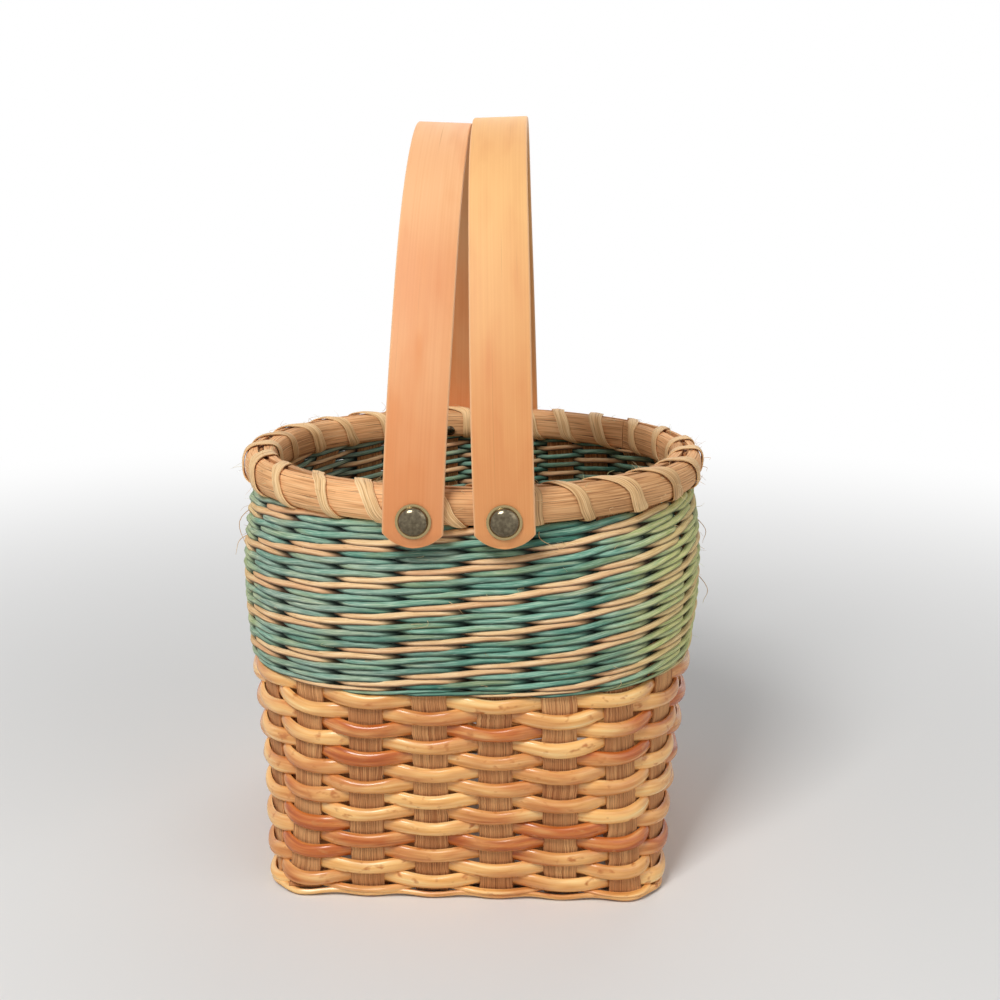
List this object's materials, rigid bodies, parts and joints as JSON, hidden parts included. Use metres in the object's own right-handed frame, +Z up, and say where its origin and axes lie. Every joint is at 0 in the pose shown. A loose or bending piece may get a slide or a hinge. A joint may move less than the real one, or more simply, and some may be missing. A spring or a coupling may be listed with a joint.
{
  "type": "woven basket with swing handles",
  "caption": "Small woven basket with a square base and round rim, a banded wall of cane and dyed rod, a lashed rim and paired bentwood swing handles.",
  "frame": {"origin": "on the table under the middle of the square base", "axes": "+Z up, -Y towards the front that the picture shows, +X to its right; the handles swing about lines parallel to Y"},
  "size_m": [0.1862, 0.1998, 0.2894],
  "materials": {
    "flat_reed": "matte, rough split face with long open grain",
    "golden_cane": "glossy half-round cane skin",
    "amber_cane": "glossy half-round cane skin, darker rows",
    "dyed_rod": "matte dyed round rods",
    "hoop_reed": "matte half-round reed, fine grain",
    "lashing_cane": "satin flat cane",
    "bentwood": "satin clear-finished bent strip with long grain",
    "aged_brass": "dark aged brass with a worn dome"
  },
  "bodies": {
    "basket_body": {"stake_front_to_back_1": "flat_reed", "stake_left_to_right_1": "flat_reed", "stake_front_to_back_2": "flat_reed", "stake_left_to_right_2": "flat_reed", "stake_front_to_back_3": "flat_reed", "stake_left_to_right_3": "flat_reed", "stake_front_to_back_4": "flat_reed", "stake_left_to_right_4": "flat_reed", "stake_front_to_back_5": "flat_reed", "stake_left_to_right_5": "flat_reed", "stake_front_to_back_6": "flat_reed", "stake_left_to_right_6": "flat_reed", "split_stake_back": "flat_reed", "cane_row_01": "golden_cane", "cane_row_02": "golden_cane", "cane_row_03": "amber_cane", "cane_row_04": "golden_cane", "cane_row_05": "golden_cane", "cane_row_06": "golden_cane", "cane_row_07": "amber_cane", "cane_row_08": "golden_cane", "cane_row_09": "golden_cane", "cane_row_10": "golden_cane", "cane_row_11": "amber_cane", "cane_row_12": "golden_cane", "cane_row_13": "golden_cane", "cane_row_14": "golden_cane", "cane_row_15": "amber_cane", "base_binding_strand": "golden_cane", "wale_band": "dyed_rod", "outer_hoop": "hoop_reed", "inner_hoop": "hoop_reed", "rim_lashing": "lashing_cane", "rivet_post_front_left": "aged_brass", "rivet_cap_front_left": "aged_brass", "rivet_post_front_right": "aged_brass", "rivet_cap_front_right": "aged_brass", "rivet_post_back_left": "aged_brass", "rivet_cap_back_left": "aged_brass", "rivet_post_back_right": "aged_brass", "rivet_cap_back_right": "aged_brass"},
    "left_handle": {"left_handle": "bentwood"},
    "right_handle": {"right_handle": "bentwood"}
  },
  "joints": [
    {"name": "left_handle_swing", "type": "hinge", "parent": "basket_body", "child": "left_handle", "pos_m": [-0.01535, 0, 0.1528], "axis": [0, -1, 0], "range_deg": [0, 130]},
    {"name": "right_handle_swing", "type": "hinge", "parent": "basket_body", "child": "right_handle", "pos_m": [0.01535, 0, 0.1528], "axis": [0, 1, 0], "range_deg": [0, 130]}
  ]
}
